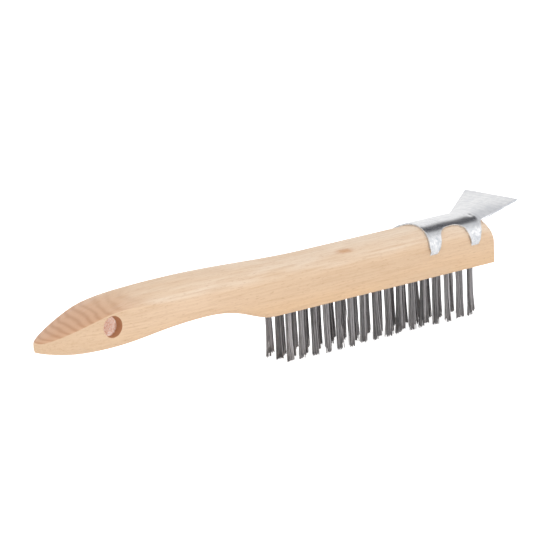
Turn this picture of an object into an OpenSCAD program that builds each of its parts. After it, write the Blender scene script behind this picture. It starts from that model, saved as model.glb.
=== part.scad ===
// Wire scratch brush: a curved hardwood handle block, rows of anchored steel
// wire tufts under its front half, and a sheet-steel scraper clamped on the nose.
// +X points from the handle tip to the nose, +Z up. The brush stands on its
// wire tips at z = 0, and x = 0 is the middle of its overall length.

/* [Wood block] */
// Length of the wood from the nose to the handle tip
wood_len = 267.8; // [260:0.1:275]
// Width of the wood
block_w = 28; // [26:0.5:32]
// Height of the block at the top of its crown
block_h = 22.3; // [20:0.1:25]
// Height of the crown, the rounded top of the wood's section
crown_h = 9.4; // [6:0.1:11]
// Height of the crown at the end of the handle
end_crown_h = 1.5; // [1:0.1:3]
// Length of the nose's rounding, seen from the side
nose_len = 8; // [4:0.5:10]
// Height of the nose's rounding
nose_drop = 4; // [2:0.5:6]
// Small break on the long edges of the bristle face
face_edge_r = 0.4; // [0.2:0.1:0.8]

/* [Handle curve] */
// Distance from the nose to where the top starts to swell
swell_start = 105; // [100:1:120]
// Distance from the nose to the highest point of the grip
swell_peak = 188; // [180:1:195]
// Height of the grip's highest point above the bristle face
swell_h = 25; // [23:0.1:27]
// Distance from the nose to where the bristle face ends
face_len = 143; // [140:1:146]
// Height of the underside behind the bristle face
arch_h = 6.3; // [5:0.1:9]
// Lowest height of the underside near the handle's end
palm_h = 2.1; // [1:0.1:4]
// Distance from the nose to where the handle starts to narrow to its tip
taper_start = 215; // [205:1:230]
// Fullness of the handle's plan towards its tip: 2 is an ellipse
taper_power = 1.8; // [1.5:0.1:2.5]
// Height of the tip's lower edge above the bristle face
tip_h = 5.8; // [5:0.1:7]
// Height of the blunt tip itself
tip_t = 4.6; // [3:0.1:6]

/* [Hanging hole] */
// Diameter of the hanging hole
hang_d = 8.8; // [6:0.1:10]
// Distance from the nose to the hole
hang_from_nose = 234.5; // [228:0.5:240]
// Height of the hole's axis above the bristle face
hang_h = 12.8; // [12:0.1:14]

/* [Tufts] */
// Tufts along the brush
tuft_columns = 16; // [8:1:16]
// Tufts across the brush
tuft_rows = 3; // [1:1:3]
// Spacing of the tufts along the brush
column_pitch = 7.75; // [7:0.05:8]
// Spacing of the tufts across the brush
row_pitch = 6.75; // [6:0.05:8]
// Distance from the nose to the first tufts
first_column = 9.5; // [9:0.5:14]
// Free length of the wire under the wood
trim = 25; // [15:1:30]
// Diameter of a tuft
tuft_d = 3.1; // [2.5:0.1:3.5]
// Depth of a tuft hole
hole_depth = 12.5; // [10:0.5:14]

/* [Anchors] */
// Length of an anchor, which bites the wood on both sides of its hole
anchor_len = 4; // [3.8:0.1:4.6]
// Width of an anchor along its hole
anchor_w = 2; // [1.5:0.1:2.5]
// Thickness of an anchor
anchor_t = 0.5; // [0.4:0.1:0.6]

/* [Scraper] */
// Thickness of the sheet
sheet_t = 0.9; // [0.7:0.1:1.2]
// Reach of the blade past the nose
blade_reach = 12.8; // [8:0.1:14]
// Width of the cutting edge
blade_w = 34; // [30:0.5:40]
// Height of the cutting edge above the bristle face
blade_edge_h = 28.6; // [25:0.1:32]
// Depth to which a toe is driven into the wood
toe_depth = 2.6; // [2:0.1:3]

/* [Hidden] */
overall_len = wood_len + blade_reach;
nose_x = overall_len / 2 - blade_reach;
face_z = trim;
hole_gap = 0.05;
hole_d = tuft_d + 2 * hole_gap;
fit_gap = 0.05;
round_fn = 48;

TUFT_NAMES = [
    for (c = [1 : tuft_columns]) for (r = [1 : tuft_rows]) tuft_name(c, r)
];

function two_digits(n) = str(n < 10 ? "0" : "", n);
function tuft_name(c, r) = str("tuft_c", two_digits(c), "_r", r);
function tuft_x(c) = nose_x - first_column - (c - 1) * column_pitch;
function tuft_y(r) = (r - (tuft_rows + 1) / 2) * row_pitch;

// ---- Curves. A curve piece is a cubic [start, pull, pull, end] of
// ---- [distance from the nose, height above the bristle face].
function cubic(p, t) =
    pow(1 - t, 3) * p[0] + 3 * pow(1 - t, 2) * t * p[1]
    + 3 * (1 - t) * t * t * p[2] + pow(t, 3) * p[3];
function cubic_at(p, u, low = 0, high = 1, left = 16) =
    let (mid = (low + high) / 2)
    left == 0 ? cubic(p, mid)[1]
    : cubic(p, mid)[0] < u ? cubic_at(p, u, mid, high, left - 1)
    : cubic_at(p, u, low, mid, left - 1);
function curve_at(pieces, u, i = 0) =
    i == len(pieces) - 1 || u <= pieces[i][3][0] ? cubic_at(pieces[i], u)
    : curve_at(pieces, u, i + 1);

shoulder = [240, 18.5];
TOP = [
    [[swell_start, block_h], [135, block_h], [155, swell_h], [swell_peak, swell_h]],
    [[swell_peak, swell_h], [217, swell_h], [227, 22.2], shoulder],
    [shoulder, [249, 16], [258, 13], [wood_len, tip_h + tip_t]]
];
UNDER = [
    [[face_len, 0], [face_len + 6, 0], [157, arch_h], [178, arch_h]],
    [[178, arch_h], [206, arch_h], [219, palm_h], [244, palm_h]],
    [[244, palm_h], [254, palm_h], [262, 3.4], [wood_len, tip_h]]
];

function drop_at(u) =
    u >= nose_len ? 0 : nose_drop * (1 - sqrt(1 - pow(1 - u / nose_len, 2)));
function top_at(u) = u < swell_start ? block_h - drop_at(u) : curve_at(TOP, u);
function under_at(u) = u < face_len ? 0 : curve_at(UNDER, u);
function ease(a, b, u) =
    let (t = min(max((u - a) / (b - a), 0), 1)) t * t * (3 - 2 * t);

// ---- The wood's section: upright sides under a half-elliptical crown, which
// ---- flattens towards the tip, and lower corners that open out under the grip.
end_half_w = 0.6;
crown_step = 11.25;
function half_w(u) =
    let (t = min(max((u - taper_start) / (wood_len - taper_start), 0), 1))
    max(block_w / 2 * pow(1 - pow(t, taper_power), 1 / taper_power), end_half_w);
function arc(cy, cz, ry, rz, from, to, step) =
    [for (a = [from : step : to]) [cy + ry * cos(a), cz + rz * sin(a)]];
function section(u) =
    let (
        w = half_w(u),
        top = top_at(u),
        under = under_at(u),
        crown = crown_h + (end_crown_h - crown_h) * ease(190, 240, u),
        grip = ease(139, 151, u),
        edge_y = min(face_edge_r + 5.6 * grip, 0.95 * w),
        edge_z = min(face_edge_r + 2.8 * grip, 0.45 * (top - under))
    )
    concat(
        arc(0, top - crown, w, crown, 0, 180, crown_step),
        arc(edge_y - w, under + edge_z, edge_y, edge_z, 180, 270, 22.5),
        arc(w - edge_y, under + edge_z, edge_y, edge_z, 270, 360, 22.5)
    );

// Stations along the wood: close together where it curves.
STATIONS = concat(
    [for (a = [0 : 15 : 90]) nose_len * (1 - cos(a))],
    [60, swell_start, 121, 130],
    [for (u = [138 : 3 : 177]) u],
    [for (u = [184 : 6 : 238]) u],
    [for (a = [0 : 10 : 80]) 243 + (wood_len - 243) * sin(a)],
    [wood_len]
);

module loft(stations) {
    rings = [for (u = stations) section(u)];
    n = len(rings[0]);
    last = len(stations) - 1;
    points = [
        for (i = [0 : last]) for (p = rings[i])
            [nose_x - stations[i], p[0], face_z + p[1]]
    ];
    sides = [
        for (i = [0 : last - 1]) for (j = [0 : n - 1]) let (k = (j + 1) % n)
            each [
                [i * n + j, i * n + k, (i + 1) * n + k],
                [i * n + j, (i + 1) * n + k, (i + 1) * n + j]
            ]
    ];
    front = [for (j = [n - 1 : -1 : 0]) j];
    back = [for (j = [0 : n - 1]) last * n + j];
    polyhedron(points, concat(sides, [front, back]), convexity = 6);
}

// ---- Tufts and their anchors
anchor_top = hole_depth - 1.2;
anchor_mid = anchor_top - anchor_w / 2;

module at_tuft(c, r) {
    translate([tuft_x(c), tuft_y(r), face_z]) children();
}

module at_every_tuft() {
    for (c = [1 : tuft_columns])
        for (r = [1 : tuft_rows])
            at_tuft(c, r) children();
}

module anchor_blank(gap) {
    translate([0, 0, anchor_mid])
        cube([anchor_len + 2 * gap, anchor_t + 2 * gap, anchor_w + 2 * gap], center = true);
}

// One bundle of wire, folded round its anchor and trimmed level
module tuft(c, r) {
    color([0.36, 0.36, 0.37])
        at_tuft(c, r)
            difference() {
                translate([0, 0, -trim])
                    cylinder(h = trim + hole_depth - 2 * hole_gap, d = tuft_d, $fn = round_fn);
                anchor_blank(hole_gap);
            }
}

// Flat wire anchors, one driven across the fold of every tuft
module tuft_anchors() {
    color([0.6, 0.6, 0.62])
        at_every_tuft() anchor_blank(0);
}

// ---- Scraper: a sheet that lies on the crown, with a flat edge in front
side_h = block_h - crown_h;
arch_step = 5.625;
seat_w = block_w / 2 + fit_gap;
seat_crown = crown_h + fit_gap;
out_w = seat_w + sheet_t;
out_crown = seat_crown + sheet_t;

// Distances from the nose, and from the middle plane, of the scraper's outline
saddle_back = 43.1;
rear_hollow = 3.4;
neck_u = 5.3;
neck_w = 10.6;
scallop_u = 25;
scallop_r = 8.4;
scallop_inner_y = 9.2;

// The two tabs on each side, as [rear end, front end] of their feet
FEET = [[42.3, 37.2], [15.3, 10.5]];
tab_foot = 10.9;

function along(u) = nose_x - u;

// Outline from above: hollow rear edge, straight sides, waist at the neck
module saddle_plan() {
    rear = [
        for (k = [-8 : 8])
            [along(saddle_back - rear_hollow * (1 - pow(k / 8, 2))), out_w * k / 8]
    ];
    polygon(concat(rear, [
        [along(9), out_w],
        [along(neck_u), neck_w],
        [along(neck_u), -neck_w],
        [along(9), -out_w]
    ]));
}

// Seen from the side: the sheet that is cut away round the tabs
module side_gaps() {
    polygon([
        for (p = [
            [FEET[0][1], 0], [FEET[0][1], 10.7], [36.5, 12.5], [35.3, 14.8], [34.4, 17],
            [33, 19.6], [18, 19.6], [16.9, 16.5], [15.8, 12.5], [FEET[1][0], 10.9],
            [FEET[1][0], 0]
        ]) [along(p[0]), p[1]]
    ]);
    polygon([
        for (p = [
            [FEET[1][1], 0], [FEET[1][1], 12.3], [10.2, 13.7], [9.1, 15.6], [7.4, 18],
            [0, 18], [0, 0]
        ]) [along(p[0]), p[1]]
    ]);
    polygon([
        for (p = [[FEET[0][0], 0], [FEET[0][0], 13], [42.9, 15], [50, 15], [50, 0]])
            [along(p[0]), p[1]]
    ]);
}

// Section of a half-elliptical crown over straight sides that reach down to low
module arch_2d(w, crown, low) {
    polygon(concat(arc(0, side_h, w, crown, 0, 180, arch_step), [[-w, low], [w, low]]));
}

// Curved sheet over the crown and down the sides of the block
module saddle_shell() {
    translate([along(saddle_back), 0, face_z])
        rotate([90, 0, 90])
            linear_extrude(height = saddle_back - neck_u)
                difference() {
                    arch_2d(out_w, out_crown, tab_foot);
                    arch_2d(seat_w, seat_crown, 0);
                }
}

module saddle() {
    difference() {
        intersection() {
            saddle_shell();
            linear_extrude(height = 2 * face_z + block_h) saddle_plan();
        }
        for (side = [-1, 1])
            translate([along(scallop_u), side * (scallop_inner_y + scallop_r), face_z])
                cylinder(h = 2 * block_h, r = scallop_r, $fn = 96);
        translate([0, out_w + 1, face_z])
            rotate([90, 0, 0])
                linear_extrude(height = 2 * out_w + 2) side_gaps();
    }
}

// The blade: a sheet stretched from the arched neck to the straight cutting edge
module blade() {
    overlap = 0.4;
    step_in = 0.02;
    neck_a = acos(neck_w / out_w);
    n = 16;
    angles = [for (k = [0 : n]) neck_a + (180 - 2 * neck_a) * k / n];
    neck = concat(
        [for (a = angles) [(out_w - step_in) * cos(a), side_h + (out_crown - step_in) * sin(a)]],
        [
            for (k = [n : -1 : 0]) let (a = angles[k])
                [(seat_w + step_in) * cos(a), side_h + (seat_crown + step_in) * sin(a)]
        ]
    );
    edge = concat(
        [for (k = [0 : n]) [blade_w * (1 / 2 - k / n), blade_edge_h]],
        [for (k = [n : -1 : 0]) [blade_w * (1 / 2 - k / n), blade_edge_h - sheet_t]]
    );
    m = len(neck);
    points = concat(
        [for (p = neck) [along(neck_u + overlap), p[0], face_z + p[1]]],
        [for (p = edge) [along(-blade_reach), p[0], face_z + p[1]]]
    );
    sides = [
        for (j = [0 : m - 1]) let (k = (j + 1) % m)
            each [[j, m + j, k], [k, m + j, m + k]]
    ];
    ends = [
        for (j = [0 : n - 1])
            each [
                [j, j + 1, m - 2 - j, m - 1 - j],
                [2 * m - 1 - j, 2 * m - 2 - j, m + j + 1, m + j]
            ]
    ];
    polyhedron(points, concat(sides, ends), convexity = 4);
}

// A toe: the foot of a tab, bent over and driven into the wood on both sides
module toes(inner, gap) {
    for (foot = FEET)
        for (side = [-1, 1])
            translate([
                along((foot[0] + foot[1]) / 2),
                side * (inner + out_w) / 2,
                face_z + tab_foot - sheet_t / 2 + 0.1
            ])
                cube([
                    foot[0] - foot[1] + 2 * gap,
                    out_w - inner,
                    sheet_t + 2 * gap
                ], center = true);
}

module scraper() {
    color([0.75, 0.76, 0.77]) {
        saddle();
        blade();
        toes(block_w / 2 - toe_depth, 0);
    }
}

// ---- Handle block with its tuft holes, anchor seats, hanging hole and toe slots
module handle_block() {
    color([0.85, 0.7, 0.52])
        difference() {
            loft(STATIONS);
            at_every_tuft() {
                translate([0, 0, -1])
                    cylinder(h = hole_depth + 1, d = hole_d, $fn = round_fn);
                anchor_blank(fit_gap);
            }
            translate([along(hang_from_nose), block_w, face_z + hang_h])
                rotate([90, 0, 0])
                    cylinder(h = 2 * block_w, d = hang_d, $fn = 96);
            toes(block_w / 2 - toe_depth - fit_gap, fit_gap);
        }
}

handle_block();
scraper();
tuft_anchors();
for (c = [1 : tuft_columns]) for (r = [1 : tuft_rows])
    tuft(c, r);
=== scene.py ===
"""A wire scratch brush: a curved hardwood handle, 48 tufts of steel wire and a clamped
sheet-steel scraper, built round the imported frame.

Lengths are in millimetres until a point is placed. A place on the brush is given as
u, the distance back from the nose, y across the brush, and h, the height above the
face that the wires leave."""

import math
import random

import bmesh
import bpy
from mathutils import Matrix, Vector


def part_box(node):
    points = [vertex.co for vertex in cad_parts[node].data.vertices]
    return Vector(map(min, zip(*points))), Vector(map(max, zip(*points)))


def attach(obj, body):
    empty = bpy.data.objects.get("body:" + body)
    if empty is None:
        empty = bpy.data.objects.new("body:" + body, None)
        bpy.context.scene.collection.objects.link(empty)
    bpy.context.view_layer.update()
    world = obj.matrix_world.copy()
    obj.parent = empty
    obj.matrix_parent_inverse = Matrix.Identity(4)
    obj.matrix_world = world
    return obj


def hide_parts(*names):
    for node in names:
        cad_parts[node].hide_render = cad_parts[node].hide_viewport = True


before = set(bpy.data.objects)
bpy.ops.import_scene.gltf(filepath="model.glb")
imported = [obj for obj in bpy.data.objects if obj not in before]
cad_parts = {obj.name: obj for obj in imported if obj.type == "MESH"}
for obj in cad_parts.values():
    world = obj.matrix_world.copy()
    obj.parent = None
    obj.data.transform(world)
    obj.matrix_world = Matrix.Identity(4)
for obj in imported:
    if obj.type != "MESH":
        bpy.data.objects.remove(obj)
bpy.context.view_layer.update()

MM = 0.001

# ---- Places and sizes read from the frame
wood_low, wood_high = (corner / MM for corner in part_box("handle_block"))
scraper_low, scraper_high = (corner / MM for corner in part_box("scraper"))
NOSE_X = wood_high.x
WOOD_LEN = wood_high.x - wood_low.x
HALF_W = (wood_high.y - wood_low.y) / 2
FACE_Z = wood_low.z
TUFT_NODES = sorted(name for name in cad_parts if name.startswith("tuft_c"))

# ---- Shape of the wood
BLOCK_H = 22.3
CROWN_H, END_CROWN_H = 9.4, 1.5
NOSE_LEN, NOSE_DROP = 8, 4
NOSE_EDGE_R = 0.5
FACE_EDGE_R = 0.4
SWELL_START = 105
SWELL_PEAK = (188, 25)
SHOULDER = (240, 18.5)
FACE_LEN = 143
TAPER_START, TAPER_POWER = 215, 1.8
TIP_START = 243
CROWN_FADE = (190, 240)
GRIP_START = (139, 151)
GRIP_EDGE_Y, GRIP_EDGE_Z = 5.6, 2.8
END_HALF_W = 0.6
TOP = [
    [(SWELL_START, BLOCK_H), (135, BLOCK_H), (155, SWELL_PEAK[1]), SWELL_PEAK],
    [SWELL_PEAK, (217, SWELL_PEAK[1]), (227, 22.2), SHOULDER],
    [SHOULDER, (249, 16), (258, 13), (WOOD_LEN, 10.4)],
]
UNDER = [
    [(FACE_LEN, 0), (149, 0), (157, 6.3), (178, 6.3)],
    [(178, 6.3), (206, 6.3), (219, 2.1), (244, 2.1)],
    [(244, 2.1), (254, 2.1), (262, 3.4), (WOOD_LEN, 5.8)],
]
HANG_U, HANG_H, HANG_R = 234.5, 12.8, 4.4
HOLE_R, HOLE_DEPTH = 1.6, 12.5
BORE_SIDES = 40
MOUTH_FLARE, RIM_FLARE = 0.35, 0.9

# ---- Shape of the scraper's sheet
SHEET = 0.9
SEAT_GAP = 0.05
SADDLE_Y = HALF_W + SEAT_GAP + SHEET / 2
SADDLE_CROWN = CROWN_H + SEAT_GAP + SHEET / 2
SADDLE_H = BLOCK_H - CROWN_H
REAR_U, REAR_HOLLOW = 43.05, 3.4
NECK_U, NECK_S = 5.3, 10.7
FOLD_LEN = 3.0
EDGE_INSET, TIP_INSET = 0.05, 0.2
BLADE_HALF_W = (scraper_high.y - scraper_low.y) / 2 - EDGE_INSET
BLADE_REACH = scraper_high.x - NOSE_X - TIP_INSET
BLADE_H = scraper_high.z - FACE_Z - SHEET / 2


def place(u, y, h):
    """A point on the brush, in the frame's metres."""
    return Vector((NOSE_X - u, y, FACE_Z + h)) * MM


def cubic(points, t):
    """The point at t on a cubic curve: start, pull, pull, end."""
    s = 1 - t
    weights = (s**3, 3 * s * s * t, 3 * s * t * t, t**3)
    return tuple(sum(w * p[i] for w, p in zip(weights, points)) for i in (0, 1))


def cubic_run(points, steps):
    return [cubic(points, i / steps) for i in range(steps + 1)]


def ease(start, end, value):
    t = min(max((value - start) / (end - start), 0), 1)
    return t * t * (3 - 2 * t)


def spread(start, end, step):
    """Even steps from start up to, but not on, end."""
    count = max(1, round((end - start) / step))
    return [start + (end - start) * i / count for i in range(count)]


# ---- Meshes
def ring_faces(base, rings, sides):
    """Faces of a closed tube through rings of vertices that start at base."""
    faces = []
    for i in range(rings - 1):
        row, up = base + i * sides, base + (i + 1) * sides
        for k in range(sides):
            n = (k + 1) % sides
            faces.append((row + k, row + n, up + n, up + k))
    last = base + (rings - 1) * sides
    faces.append(tuple(base + k for k in reversed(range(sides))))
    faces.append(tuple(last + k for k in range(sides)))
    return faces


def add_piece(name, verts, faces, materials, replaced=(), smooth=True):
    """A new mesh of the object, riding on the frame's one body."""
    mesh = bpy.data.meshes.new(name)
    mesh.from_pydata(verts, [], faces)
    mesh.validate()
    return finish_piece(name, mesh, materials, replaced, smooth)


def finish_piece(name, mesh, materials, replaced=(), smooth=True):
    piece = bpy.data.objects.new(name, mesh)
    bpy.context.scene.collection.objects.link(piece)
    for material in materials:
        mesh.materials.append(material)
    if smooth:
        mesh.shade_smooth()
    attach(piece, "root")
    if replaced:
        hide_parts(*replaced)
    return piece


def apply_modifiers(piece):
    """Bakes the modifiers into the mesh, so that the mesh is what is seen."""
    graph = bpy.context.evaluated_depsgraph_get()
    mesh = bpy.data.meshes.new_from_object(piece.evaluated_get(graph))
    piece.modifiers.clear()
    piece.data = mesh


# ---- Handle
def curve_height(curve, u):
    piece = next((p for p in curve if u <= p[3][0]), curve[-1])
    low, high = 0.0, 1.0
    for _ in range(30):
        mid = (low + high) / 2
        if cubic(piece, mid)[0] < u:
            low = mid
        else:
            high = mid
    return cubic(piece, low)[1]


def edge_drop(u, length, drop):
    """How far an elliptical rounding of this length and drop has fallen away at u."""
    return 0 if u >= length else drop * (1 - math.sqrt(1 - (1 - u / length) ** 2))


def top_height(u):
    if u < SWELL_START:
        return BLOCK_H - edge_drop(u, NOSE_LEN, NOSE_DROP)
    return curve_height(TOP, u)


def under_height(u):
    if u < FACE_LEN:
        return edge_drop(u, NOSE_EDGE_R, NOSE_EDGE_R)
    return curve_height(UNDER, u)


def half_width(u):
    past = min(max((u - TAPER_START) / (WOOD_LEN - TAPER_START), 0), 1)
    taper = (1 - past**TAPER_POWER) ** (1 / TAPER_POWER)
    return max(HALF_W * taper - edge_drop(u, NOSE_EDGE_R, NOSE_EDGE_R), END_HALF_W)


def arc(cy, cz, ry, rz, start, end, steps):
    angles = [math.radians(start + (end - start) * i / steps) for i in range(steps + 1)]
    return [(cy + ry * math.cos(a), cz + rz * math.sin(a)) for a in angles]


def wood_section(u):
    """The wood's outline across the brush at u: a crown, two sides and a face."""
    w, top, under = half_width(u), top_height(u), under_height(u)
    grip = ease(*GRIP_START, u)
    crown = CROWN_H + (END_CROWN_H - CROWN_H) * ease(*CROWN_FADE, u)
    edge_y = min(FACE_EDGE_R + GRIP_EDGE_Y * grip, 0.95 * w)
    edge_z = min(FACE_EDGE_R + GRIP_EDGE_Z * grip, 0.45 * (top - under))
    arcs = [
        arc(0, top - crown, w, crown, 0, 180, 40),
        arc(edge_y - w, under + edge_z, edge_y, edge_z, 180, 270, 8),
        arc(w - edge_y, under + edge_z, edge_y, edge_z, 270, 360, 8),
    ]
    ring = []
    for i, points in enumerate(arcs):
        a, b = points[-1], arcs[(i + 1) % len(arcs)][0]
        shares = [k / 8 for k in range(1, 8)]
        ring += points
        ring += [(a[0] + (b[0] - a[0]) * t, a[1] + (b[1] - a[1]) * t) for t in shares]
    return ring


def wood_stations():
    """Distances from the nose of the sections, close together where the wood curves."""
    nose = [NOSE_LEN * (1 - math.cos(math.radians(a))) for a in range(0, 90, 5)]
    nose = sorted(nose + [NOSE_EDGE_R * k / 4 for k in range(1, 5)])
    straight = spread(NOSE_LEN, SWELL_START, 3)
    curved = spread(SWELL_START, TIP_START, 1.2)
    tip_len = WOOD_LEN - TIP_START
    tip = [TIP_START + tip_len * math.sin(math.radians(a)) for a in range(0, 90, 3)]
    return nose + straight + curved + tip + [WOOD_LEN]


def hole_cutter(bores):
    """One mesh of bores. A bore is its axis' matrix and a list of (radius, along)."""
    verts, faces = [], []
    for matrix, profile in bores:
        base = len(verts)
        for radius, along in profile:
            for k in range(BORE_SIDES):
                a = 2 * math.pi * k / BORE_SIDES
                local = Vector((radius * math.cos(a), radius * math.sin(a), along)) * MM
                verts.append(matrix @ local)
        faces += ring_faces(base, len(profile), BORE_SIDES)
    mesh = bpy.data.meshes.new("bores")
    mesh.from_pydata(verts, [], faces)
    cutter = bpy.data.objects.new("bores", mesh)
    bpy.context.scene.collection.objects.link(cutter)
    return cutter


def cut(piece, cutter, material):
    """Cuts the bores out of the piece; their walls take the material given."""
    cutter.data.materials.append(material)
    boolean = piece.modifiers.new("bores", "BOOLEAN")
    boolean.operation = "DIFFERENCE"
    boolean.solver = "EXACT"
    boolean.material_mode = "TRANSFER"
    boolean.object = cutter
    apply_modifiers(piece)
    bpy.data.objects.remove(cutter)


HANG_SIDE = half_width(HANG_U)


def tuft_bores():
    """A blind hole for every tuft, with a slightly flared mouth."""
    bores = []
    for name in TUFT_NODES:
        low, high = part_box(name)
        centre = (low + high) / 2
        face = Matrix.Translation((centre.x, centre.y, FACE_Z * MM))
        profile = [(HOLE_R + MOUTH_FLARE, -0.3), (HOLE_R, 0.15), (HOLE_R, HOLE_DEPTH)]
        bores.append((face, profile))
    return bores


def hanging_bore():
    """The hole through the handle, from side to side, with both rims rounded over."""
    across = Matrix.Translation(place(HANG_U, 0, HANG_H)) @ Matrix.Rotation(math.pi / 2, 4, "X")
    out, rim = HANG_SIDE + 0.7, HANG_SIDE - 0.6
    wide = HANG_R + RIM_FLARE
    return across, [(wide, -out), (HANG_R, -rim), (HANG_R, 0), (HANG_R, rim), (wide, out)]


def make_handle(wood, drilled):
    stations = wood_stations()
    rings = [wood_section(u) for u in stations]
    verts = [place(u, y, h) for u, ring in zip(stations, rings) for y, h in ring]
    faces = ring_faces(0, len(rings), len(rings[0]))
    handle = add_piece("wood_handle", verts, faces, [wood], ["handle_block"])
    cut(handle, hole_cutter(tuft_bores()), drilled)
    cut(handle, hole_cutter([hanging_bore()]), drilled)
    handle.data.set_sharp_from_angle(angle=math.radians(35))


# ---- Scraper: a flat blank, cut out and then bent. A place on the blank is (u, s):
# ---- s is the distance along the sheet from its middle line.
def bent_profile():
    """The middle of the sheet across the saddle, as (s, y, h) from the crown to a toe."""
    places = []
    for i in range(181):
        a = math.radians(i / 2)
        places.append((SADDLE_Y * math.sin(a), SADDLE_H + SADDLE_CROWN * math.cos(a)))
    places += [(SADDLE_Y - 0.02, 12.7), (SADDLE_Y - 0.1, 12.5), (SADDLE_Y - 0.9, 10.7)]
    places += [(SADDLE_Y - 1.3, 10.3), (SADDLE_Y - 3.1, 10.1)]
    profile = [(0.0, *places[0])]
    for y, h in places[1:]:
        s, before_y, before_h = profile[-1]
        profile.append((s + math.hypot(y - before_y, h - before_h), y, h))
    return profile


PROFILE = bent_profile()
TOE_END_S = PROFILE[-1][0]
FOOT_S = PROFILE[-3][0]


def across_saddle(s):
    """Where the sheet's middle is at s over the saddle, as (y, h)."""
    after = next((i for i, p in enumerate(PROFILE) if p[0] >= s and i), len(PROFILE) - 1)
    (s0, y0, h0), (s1, y1, h1) = PROFILE[after - 1], PROFILE[after]
    share = (s - s0) / (s1 - s0)
    return y0 + (y1 - y0) * share, h0 + (h1 - h0) * share


def half_blank():
    """Half of the blank's outline, from the middle of its rear edge to the blade's."""
    rear = []
    for s in spread(0, 17.5, 1.1):
        hollow = 1 - (across_saddle(s)[0] / SADDLE_Y) ** 2
        rear.append((REAR_U - REAR_HOLLOW * hollow, s))
    tab_1_rear = cubic_run([(43.0, 17.5), (42.9, 18.8), (42.3, 19), (42.3, FOOT_S)], 6)
    toe_1 = [(42.1, TOE_END_S), (37.6, TOE_END_S)]
    tab_1_front = cubic_run([(37.4, FOOT_S), (36.8, 19.5), (35.2, 17), (34.4, 15.2)], 8)
    scallop = cubic_run([(34.4, 15.2), (33.6, 13.3), (32.3, 11.3), (29.2, 10)], 8)[1:]
    scallop += cubic_run([(29.2, 10), (26.5, 8.9), (22.2, 8.8), (19.6, 10)], 10)[1:]
    scallop += cubic_run([(19.6, 10), (17.9, 10.9), (17.1, 12.4), (17.1, 14)], 8)[1:]
    tab_2_rear = cubic_run([(17.1, 14), (16.9, 16.5), (16.1, 19.5), (15.3, FOOT_S)], 8)[1:]
    toe_2 = [(15.1, TOE_END_S), (10.7, TOE_END_S)]
    tab_2_front = cubic_run([(10.6, FOOT_S), (10.5, 19), (9.2, 17), (7.5, 14.1)], 8)
    neck = cubic_run([(7.5, 14.1), (6.8, 12.8), (6.2, 11.7), (NECK_U, NECK_S)], 5)[1:]
    tip = [(-BLADE_REACH, BLADE_HALF_W)]
    outline = rear + tab_1_rear + toe_1 + tab_1_front + scallop
    return outline + tab_2_rear + toe_2 + tab_2_front + neck + tip


def bent(u, s):
    """The point of the bent sheet's middle that (u, s) on the blank goes to. The blade
    is stretched between the arched neck and its own straight edge."""
    ahead = max(NECK_U + FOLD_LEN / 2 - u, 0)
    rise = ahead**2 / (2 * FOLD_LEN) if ahead < FOLD_LEN else ahead - FOLD_LEN / 2
    share = rise / (NECK_U + BLADE_REACH)
    along = abs(s) / (NECK_S + (BLADE_HALF_W - NECK_S) * share)
    y, h = across_saddle(along * NECK_S)
    y += (along * BLADE_HALF_W - y) * share
    h += (BLADE_H - h) * share
    return u, math.copysign(y, s), h


DENT_U, DENT_S, DENT_DEPTH = 7.0, -5.2, 0.3
TOP_S = 14


def dimple(u, s):
    """A dent and faint waves in the top of the sheet, down into the surface."""
    if abs(s) >= TOP_S:
        return 0
    dent = DENT_DEPTH * math.exp(-(((u - DENT_U) / 0.9) ** 2) - ((s - DENT_S) / 1.4) ** 2)
    wave = 0.05 * math.sin(u * 0.37 + 1.1) * math.cos(s * 0.29 + 0.6)
    return dent + wave


def flat_blank():
    """The whole blank as one flat mesh, cut into small faces so that it can bend."""
    half = half_blank()
    outline = half + [(u, -s) for u, s in reversed(half[1:])]
    blank = bmesh.new()
    blank.faces.new([blank.verts.new((u, s, 0)) for u, s in outline])
    lines = [((u, 0, 0), (1, 0, 0)) for u in spread(-16, 45, 1.2)]
    lines += [((0, s, 0), (0, 1, 0)) for s in spread(-27, 27, 0.75)]
    for point, normal in lines:
        everything = blank.verts[:] + blank.edges[:] + blank.faces[:]
        bmesh.ops.bisect_plane(blank, geom=everything, plane_co=point, plane_no=normal, dist=1e-5)
    bmesh.ops.remove_doubles(blank, verts=blank.verts[:], dist=0.01)
    return blank


def thicken(piece):
    """Gives the bent sheet its thickness and breaks its edges."""
    solid = piece.modifiers.new("sheet", "SOLIDIFY")
    solid.thickness = SHEET * MM
    solid.offset = 0
    solid.use_even_offset = True
    edge = piece.modifiers.new("edge", "BEVEL")
    edge.width = 0.13 * MM
    edge.segments = 2
    edge.limit_method = "ANGLE"
    edge.angle_limit = math.radians(50)
    apply_modifiers(piece)
    piece.data.set_sharp_from_angle(angle=math.radians(50))


def make_scraper(metal):
    blank = flat_blank()
    for vert in blank.verts:
        u, s, _ = vert.co
        at_u, y, h = bent(u, s)
        vert.co = place(at_u, y, h - dimple(u, s))
    bmesh.ops.recalc_face_normals(blank, faces=blank.faces[:])
    mesh = bpy.data.meshes.new("steel_scraper")
    blank.to_mesh(mesh)
    blank.free()
    thicken(finish_piece("steel_scraper", mesh, [metal], ["scraper"]))


# ---- Tufts: wires folded over an anchor, so that each wire has two cut ends
WIRE_R = 0.18
WIRE_SIDES = 6
WIRE_STEP = 0.43
TUFT_R = 1.42
FREE_LEN = FACE_Z
FREE_STEPS = 7
ANCHOR_TOP = 11.3
ANCHOR_HALF_T = 0.25
FOLD_HALF_W = 1.2
STRAY_SHARE, STRAY_FACTOR = 0.035, 3.2


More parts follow.
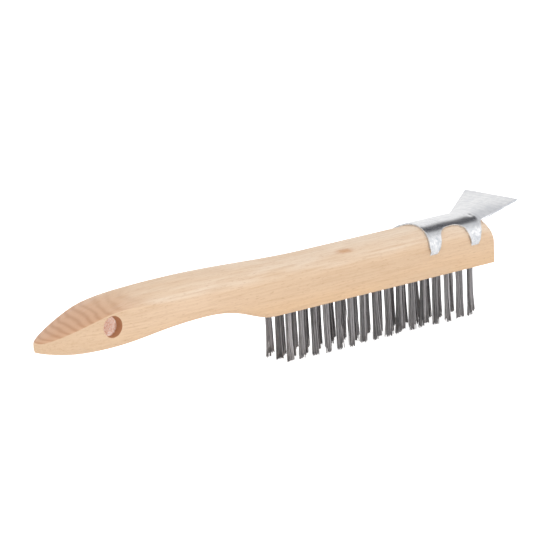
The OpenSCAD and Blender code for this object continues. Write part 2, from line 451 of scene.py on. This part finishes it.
def half_bundle(side):
    """Places of one half of a tuft's wires across the hole, in a hexagonal pattern."""
    row_step = WIRE_STEP * math.sqrt(3) / 2
    places = []
    for row in range(4):
        y = (row + 0.5) * row_step
        shift = 0.5 * WIRE_STEP * (row % 2)
        for column in range(-4, 5):
            x = column * WIRE_STEP + shift * side
            if math.hypot(x, y) <= TUFT_R:
                places.append((x, side * y))
    return sorted(places)


def leg(base, fold, half, end, random_wire):
    """A wire's path from its cut end up to the start of its fold."""
    length, lean_x, lean_y, bow = end
    wave_x, wave_y = random_wire.uniform(0, 6.3), random_wire.uniform(0, 6.3)
    wave = random_wire.uniform(0.03, 0.1)
    path = []
    for i in range(FREE_STEPS + 1):
        t = 1 - i / FREE_STEPS
        bend = t**1.4
        x = base[0] + lean_x * bend + bow * math.sin(math.pi * t)
        x += wave * t * math.sin(5 * t + wave_x)
        y = base[1] + lean_y * bend + wave * t * math.sin(6 * t + wave_y)
        path.append((x, y, -length * t))
    path.append((base[0], base[1], 4.5))
    path.append((0.5 * (base[0] + fold[0]), 0.5 * (base[1] + half * fold[1]), 8.2))
    path.append((fold[0], half * fold[1], ANCHOR_TOP - 0.9))
    path.append((fold[0], half * fold[1], ANCHOR_TOP))
    return path


def hairpin(bases, fold, ends, random_wire):
    """One wire's whole path: up one leg, over the anchor and down the other."""
    up = leg(bases[0], fold, -1, ends[0], random_wire)
    down = leg(bases[1], fold, 1, ends[1], random_wire)
    over = []
    for k in range(1, 4):
        a = math.pi * k / 4
        rise = (fold[1] - ANCHOR_HALF_T) * math.sin(a)
        over.append((fold[0], -fold[1] * math.cos(a), ANCHOR_TOP + rise))
    return up + over + down[::-1]


def tube(path, radius, verts, faces):
    """Adds a closed tube along the path. Its flat ends are the wire's cuts."""
    points = [Vector(p) for p in path]
    base = len(verts)
    for i, point in enumerate(points):
        ahead = points[min(i + 1, len(points) - 1)] - points[max(i - 1, 0)]
        ahead.normalize()
        side = (Vector((1, 0, 0)) - ahead * ahead.x).normalized()
        out = ahead.cross(side)
        for k in range(WIRE_SIDES):
            a = 2 * math.pi * k / WIRE_SIDES
            verts.append(point + (side * math.cos(a) + out * math.sin(a)) * radius)
    faces += ring_faces(base, len(points), WIRE_SIDES)


def make_tuft(node, wire, number):
    """A tuft's wires, in place of its CAD bundle. Every tuft has its own scatter."""
    rng = random.Random(7000 + number)
    low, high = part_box(node)
    centre = (low + high) / 2 / MM
    halves = {side: half_bundle(side) for side in (-1, 1)}
    count = min(len(halves[-1]), len(halves[1]))
    lean = (rng.gauss(0.75, 0.3), rng.gauss(0.0, 0.3))
    split = rng.uniform(0.2, 0.8)
    shorter = rng.choice((-1, 1))
    trims = {shorter: rng.uniform(0.2, 2.6), -shorter: rng.uniform(0.0, 0.5)}
    bows = {side: rng.gauss(0, 0.2) for side in (-1, 1)}
    verts, faces, tones = [], [], []
    for i in range(count):
        layer = i % 2
        fold_x = (i - (count - 1) / 2) * 2 * FOLD_HALF_W / count
        fold = (fold_x, ANCHOR_HALF_T + WIRE_R + 0.02 + 2 * WIRE_R * layer)
        ends = []
        for side in (-1, 1):
            short = trims[side] + abs(rng.gauss(0, 0.7)) * (1 if i else 0)
            stray = 1.0 if rng.random() > STRAY_SHARE else STRAY_FACTOR
            lean_x = lean[0] + split * shorter * side * 0.6 + rng.gauss(0, 0.24) * stray
            lean_y = lean[1] + side * split * 0.35 + rng.gauss(0, 0.2) * stray
            ends.append((FREE_LEN - short, lean_x, lean_y, bows[side]))
        before = len(verts)
        path = hairpin((halves[-1][i], halves[1][i]), fold, ends, rng)
        tube(path, WIRE_R, verts, faces)
        tones += [rng.random()] * (len(verts) - before)
    origin = Vector((centre.x, centre.y, FACE_Z))
    verts = [(origin + v) * MM for v in verts]
    piece = add_piece(node.replace("tuft", "wires"), verts, faces, [wire], [node])
    for polygon in piece.data.polygons:
        polygon.use_smooth = len(polygon.vertices) == 4
    tone = piece.data.attributes.new("tone", "FLOAT", "POINT")
    tone.data.foreach_set("value", tones)


# ---- Materials
def new_material(name):
    """A material with its node tree and its Principled shader."""
    material = bpy.data.materials.new(name)
    material.use_nodes = True
    return material, material.node_tree, material.node_tree.nodes["Principled BSDF"]


def add(tree, kind, inputs=None, **settings):
    """Adds a node, sets its properties, and links or sets its inputs."""
    node = tree.nodes.new("ShaderNode" + kind)
    for name, value in settings.items():
        setattr(node, name, value)
    for name, value in (inputs or {}).items():
        if isinstance(value, bpy.types.NodeSocket):
            tree.links.new(value, node.inputs[name])
        else:
            node.inputs[name].default_value = value
    return node


def calc(tree, operation, a, b=0.0, clamp=False):
    return add(tree, "Math", {0: a, 1: b}, operation=operation, use_clamp=clamp).outputs[0]


def scale_add(tree, value, factor, offset):
    """value * factor + offset"""
    inputs = {0: value, 1: factor, 2: offset}
    return add(tree, "Math", inputs, operation="MULTIPLY_ADD").outputs[0]


def fade(tree, value, start, end):
    """0 where value is at start, 1 at end, and smooth between."""
    inputs = {"Value": value, "From Min": start, "From Max": end}
    return add(tree, "MapRange", inputs, interpolation_type="SMOOTHSTEP").outputs[0]


def tint(tree, share, under, over):
    """Colour mix: under where share is 0, over where it is 1."""
    return add(tree, "Mix", {0: share, 6: under, 7: over}, data_type="RGBA").outputs[2]


def times(tree, value, factor):
    return calc(tree, "MULTIPLY", value, factor)


def roughen(tree, shader, height, strength, depth):
    """Gives the surface a relief of this depth in millimetres."""
    inputs = {"Strength": strength, "Distance": depth * MM, "Height": height}
    tree.links.new(add(tree, "Bump", inputs).outputs[0], shader.inputs["Normal"])


def normal_parts(tree):
    return axis_parts(tree, add(tree, "NewGeometry").outputs["Normal"])


def noise(tree, where, scale, detail=3.0, rough=0.55):
    inputs = {"Vector": where, "Scale": scale, "Detail": detail, "Roughness": rough}
    return add(tree, "TexNoise", inputs).outputs[0]


def in_mm(tree):
    """The object's own coordinates in millimetres."""
    own = add(tree, "TexCoord").outputs["Object"]
    return add(tree, "VectorMath", {0: own, "Scale": 1 / MM}, operation="SCALE").outputs[0]


def stretched(tree, where, stretch):
    """Coordinates multiplied axis by axis."""
    return add(tree, "VectorMath", {0: where, 1: stretch}, operation="MULTIPLY").outputs[0]


def srgb(red, green, blue):
    """A colour seen on a screen, 0 to 255, as the linear colour that shaders use."""
    linear = [
        c / 3294.6 if c <= 10.31475 else ((c / 255 + 0.055) / 1.055) ** 2.4
        for c in (red, green, blue)
    ]
    return (*linear, 1.0)


def axis_parts(tree, vector):
    parts = add(tree, "SeparateXYZ", {0: vector}).outputs
    return parts[0], parts[1], parts[2]


RING_STEP = 1.3
PITH_Y, PITH_Z = 9.0, -34.0


def growth_rings(tree, where):
    """0 to 1 across each growth ring of the tree that the wood came from. The pith runs
    along the brush, well below it, so the layers lie nearly level."""
    slow = noise(tree, stretched(tree, where, (0.011, 0.05, 0.05)), 1.0, 2.0)
    uneven = noise(tree, stretched(tree, where, (0.004, 0.02, 0.35)), 1.0, 1.0)
    _, y, z = axis_parts(tree, where)
    across = calc(tree, "SUBTRACT", y, PITH_Y)
    above = calc(tree, "SUBTRACT", z, PITH_Z)
    squares = scale_add(tree, across, across, times(tree, above, above))
    radius = scale_add(tree, slow, 3.0, calc(tree, "SQRT", squares))
    radius = scale_add(tree, uneven, 1.2, radius)
    wave = calc(tree, "SINE", times(tree, radius, 2 * math.pi / RING_STEP))
    return calc(tree, "POWER", scale_add(tree, wave, 0.5, 0.5), 1.6)


KNOT_U, KNOT_Y, KNOT_H = 91, -8.5, 21
BAND_START, BAND_END = 205, 246


def knot_share(tree, where):
    """How much of the knot's colour a point takes: a small swirl along the grain."""
    knot_at = place(KNOT_U, KNOT_Y, KNOT_H) / MM
    offset = add(tree, "VectorMath", {0: where, 1: knot_at}, operation="SUBTRACT").outputs[0]
    swirl = stretched(tree, offset, (0.16, 0.35, 0.6))
    reach = add(tree, "VectorMath", {0: swirl}, operation="LENGTH").outputs["Value"]
    reach = calc(tree, "ADD", reach, times(tree, noise(tree, where, 0.5), 0.8))
    return times(tree, fade(tree, reach, 1.6, 0.55), 0.75)


def wood_material(name):
    """Pale hardwood: warm sides, a crown painted lighter and greyer as a painted highlight from
    above, and end grain on top near the tip.
    """
    material, tree, shader = new_material(name)
    where = in_mm(tree)
    x, _, z = axis_parts(tree, where)
    upward = normal_parts(tree)[2]
    ring = growth_rings(tree, where)
    broad = noise(tree, stretched(tree, where, (0.012, 0.09, 0.09)), 1.0, 3.0)
    fibre = noise(tree, stretched(tree, where, (0.05, 1.1, 1.1)), 1.0, 4.0, 0.6)
    fleck = noise(tree, stretched(tree, where, (0.32, 3.2, 3.2)), 1.0, 2.0, 0.6)

    height = fade(tree, z, FACE_Z - 1, FACE_Z + 15)
    pale = tint(tree, height, srgb(226, 190, 150), srgb(229, 199, 168))
    # Painted highlight: faces that look up are tinted lighter and greyer, standing in for the
    # light and sheen from above.
    pale = tint(tree, fade(tree, upward, 0.12, 0.62), pale, srgb(231, 210, 187))
    pale = tint(tree, fade(tree, broad, 0.35, 0.7), pale, srgb(221, 190, 157))
    fibres = times(tree, fade(tree, fibre, 0.42, 0.72), 0.5)
    pale = tint(tree, fibres, pale, srgb(206, 170, 134))
    pale = tint(tree, times(tree, ring, 0.10), pale, srgb(198, 156, 118))
    flecks = times(tree, fade(tree, fleck, 0.58, 0.7), 0.45)
    pale = tint(tree, flecks, pale, srgb(186, 145, 108))

    tip = fade(tree, x, place(BAND_START, 0, 0).x / MM, place(BAND_END, 0, 0).x / MM)
    band = times(tree, times(tree, fade(tree, upward, 0.2, 0.4), tip), 0.85)
    end_grain = tint(tree, ring, srgb(204, 158, 124), srgb(186, 136, 101))
    colour = tint(tree, band, pale, end_grain)
    colour = tint(tree, knot_share(tree, where), colour, srgb(193, 138, 92))
    tree.links.new(colour, shader.inputs["Base Color"])

    rough = scale_add(tree, fibre, 0.2, 0.42)
    tree.links.new(rough, shader.inputs["Roughness"])
    relief = calc(tree, "ADD", times(tree, fibre, 0.6), times(tree, fleck, 0.4))
    roughen(tree, shader, relief, 0.25, 0.12)
    shader.inputs["Specular IOR Level"].default_value = 0.4
    return material


def drilled_material():
    """Walls of the drilled holes: darker brown near the rim, and deeper in a pale, almost white
    speckle that is painted light from the hole's far opening; the walls also glow a little, a
    painted glow.
    """
    material, tree, shader = new_material("drilled_wood")
    where = in_mm(tree)
    depth = calc(tree, "SUBTRACT", HANG_SIDE, calc(tree, "ABSOLUTE", axis_parts(tree, where)[1]))
    speckle = noise(tree, stretched(tree, where, (1.2, 1.6, 1.2)), 1.0, 5.0, 0.7)
    ragged_depth = calc(tree, "ADD", depth, times(tree, speckle, 2.2))
    # Painted light: the near-white speckle deeper in stands in for light coming through the hole
    # from its far side.
    pale = tint(tree, fade(tree, speckle, 0.4, 0.62), srgb(222, 186, 166), srgb(252, 242, 236))
    colour = tint(tree, fade(tree, ragged_depth, 3.2, 4.6), srgb(160, 108, 74), pale)
    tree.links.new(colour, shader.inputs["Base Color"])
    # Painted glow: the walls give off a little light of their own, so that the hole looks lit.
    tree.links.new(colour, shader.inputs["Emission Color"])
    shader.inputs["Emission Strength"].default_value = 0.16
    shader.inputs["Roughness"].default_value = 0.8
    roughen(tree, shader, speckle, 0.8, 0.3)
    return material


def sheet_material():
    """Galvanised sheet: grey zinc with rolling streaks, and crystals on its sides."""
    material, tree, shader = new_material("galvanised_sheet")
    where = in_mm(tree)
    cells = {"Vector": where, "Scale": 0.75, "Randomness": 1.0}
    crystal = add(tree, "TexVoronoi", cells).outputs["Color"]
    on_side = fade(tree, normal_parts(tree)[2], 0.8, 0.5)
    shade = times(tree, axis_parts(tree, crystal)[0], scale_add(tree, on_side, 0.85, 0.15))
    streak = noise(tree, stretched(tree, where, (1.4, 0.07, 0.3)), 1.0, 3.0, 0.6)
    cloud = noise(tree, where, 0.22, 3.0)
    colour = tint(tree, fade(tree, streak, 0.3, 0.75), srgb(240, 240, 240), srgb(226, 226, 228))
    colour = tint(tree, times(tree, shade, 0.7), colour, srgb(176, 182, 190))
    colour = tint(tree, fade(tree, cloud, 0.45, 0.8), colour, srgb(222, 223, 226))
    tree.links.new(colour, shader.inputs["Base Color"])
    shader.inputs["Metallic"].default_value = 1.0
    rough = scale_add(tree, shade, 0.18, 0.2)
    tree.links.new(rough, shader.inputs["Roughness"])
    relief = calc(tree, "ADD", times(tree, shade, 0.5), cloud)
    roughen(tree, shader, relief, 0.25, 0.12)
    return material


def wire_material(name, light, dark):
    """Drawn steel wire, each wire a little lighter or darker than the next."""
    material, tree, shader = new_material(name)
    tone = add(tree, "Attribute", attribute_name="tone").outputs["Fac"]
    where = in_mm(tree)
    scale = noise(tree, stretched(tree, where, (2.5, 2.5, 0.35)), 1.0, 3.0)
    share = calc(tree, "MULTIPLY", calc(tree, "ADD", tone, scale), 0.62, clamp=True)
    tree.links.new(tint(tree, share, dark, light), shader.inputs["Base Color"])
    shader.inputs["Metallic"].default_value = 1.0
    rough = scale_add(tree, scale, 0.3, 0.28)
    tree.links.new(rough, shader.inputs["Roughness"])
    return material


# ---- Studio
WHITE = (1.0, 1.0, 1.0, 1.0)


def add_floor():
    """A wide pale floor, lit up like a light table, so that no shadow shows on it."""
    mesh = bpy.data.meshes.new("floor")
    disc = bmesh.new()
    bmesh.ops.create_circle(disc, cap_ends=True, segments=96, radius=12)
    disc.to_mesh(mesh)
    disc.free()
    floor = bpy.data.objects.new("floor", mesh)
    bpy.context.scene.collection.objects.link(floor)
    material, tree, shader = new_material("pale_floor")
    grain = noise(tree, in_mm(tree), 0.02)
    colour = tint(tree, grain, (0.9, 0.9, 0.9, 1), (0.94, 0.94, 0.94, 1))
    tree.links.new(colour, shader.inputs["Base Color"])
    shader.inputs["Roughness"].default_value = 0.9
    shader.inputs["Specular IOR Level"].default_value = 0.0
    shader.inputs["Emission Color"].default_value = WHITE
    seen = add(tree, "LightPath").outputs["Is Camera Ray"]
    tree.links.new(scale_add(tree, seen, 0.66, 0.16), shader.inputs["Emission Strength"])
    mesh.materials.append(material)


def sky_patch(tree, way, azimuth, elevation, outer, inner):
    """1 within the inner angle of a direction, 0 outside the outer one. All in degrees."""
    az, el = math.radians(azimuth), math.radians(elevation)
    towards = (math.cos(el) * math.cos(az), math.cos(el) * math.sin(az), math.sin(el))
    near = add(tree, "VectorMath", {0: way, 1: towards}, operation="DOT_PRODUCT").outputs["Value"]
    return fade(tree, near, math.cos(math.radians(outer)), math.cos(math.radians(inner)))


def light_world():
    """White surroundings: a bright backdrop and window, grey elsewhere, a dim gap high up."""
    world = bpy.data.worlds.new("studio")
    bpy.context.scene.world = world
    world.use_nodes = True
    tree = world.node_tree
    background = tree.nodes["Background"]
    way = add(tree, "TexCoord").outputs["Generated"]
    backdrop = sky_patch(tree, way, 47, 0, 63, 32)
    window = sky_patch(tree, way, -42, 22, 34, 18)
    gap = sky_patch(tree, way, 22, 43, 16, 7)
    lit = tint(tree, backdrop, (0.7, 0.71, 0.73, 1), (1.0, 1.0, 1.0, 1))
    lit = tint(tree, window, lit, (1.25, 1.25, 1.25, 1))
    lit = tint(tree, gap, lit, (0.06, 0.06, 0.07, 1))
    seen = add(tree, "LightPath").outputs["Is Camera Ray"]
    tree.links.new(tint(tree, seen, lit, WHITE), background.inputs["Color"])


def add_softbox(name, at, aim, size, power):
    light = bpy.data.lights.new(name, "AREA")
    light.shape = "RECTANGLE"
    light.size, light.size_y = size
    light.energy = power
    lamp = bpy.data.objects.new(name, light)
    lamp.location = at
    lamp.rotation_euler = (Vector(aim) - Vector(at)).to_track_quat("-Z", "Y").to_euler()
    bpy.context.scene.collection.objects.link(lamp)


CAMERA_AZIMUTH = math.radians(-42.82)
CAMERA_ELEVATION = math.radians(13.03)
CAMERA_ROLL = math.radians(1.76)
CAMERA_DISTANCE = 2.0
CAMERA_LENS = 286.8
CAMERA_AIM = Vector((2.8, -1.1, 37.1)) * MM


def add_camera():
    data = bpy.data.cameras.new("camera")
    data.sensor_width = 36
    data.lens = CAMERA_LENS
    camera = bpy.data.objects.new("camera", data)
    bpy.context.scene.collection.objects.link(camera)
    back = Vector(
        (
            math.sin(CAMERA_AZIMUTH) * math.cos(CAMERA_ELEVATION),
            -math.cos(CAMERA_AZIMUTH) * math.cos(CAMERA_ELEVATION),
            math.sin(CAMERA_ELEVATION),
        )
    )
    turn = back.to_track_quat("Z", "Y").to_matrix() @ Matrix.Rotation(-CAMERA_ROLL, 3, "Z")
    camera.matrix_world = Matrix.Translation(CAMERA_AIM + back * CAMERA_DISTANCE) @ turn.to_4x4()
    bpy.context.scene.camera = camera


# ---- The studio and the brush in it
bpy.context.scene.view_settings.view_transform = "Standard"
add_camera()
add_floor()
light_world()
add_softbox("lamp_above", (-0.5, -0.5, 1.6), (0, 0, 0.04), (1.6, 1.2), 10)
add_softbox("lamp_front", (-1.4, -1.6, 0.8), (0, 0, 0.04), (1.0, 1.0), 3.5)

drilled = drilled_material()
make_handle(wood_material("hardwood"), drilled)
make_scraper(sheet_material())
wire = wire_material("steel_wire", srgb(208, 205, 206), srgb(42, 40, 41))
for number, node in enumerate(TUFT_NODES):
    make_tuft(node, wire, number)
anchor_steel = wire_material("anchor_steel", srgb(180, 180, 180), srgb(140, 138, 136))
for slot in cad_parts["tuft_anchors"].material_slots:
    slot.material = anchor_steel
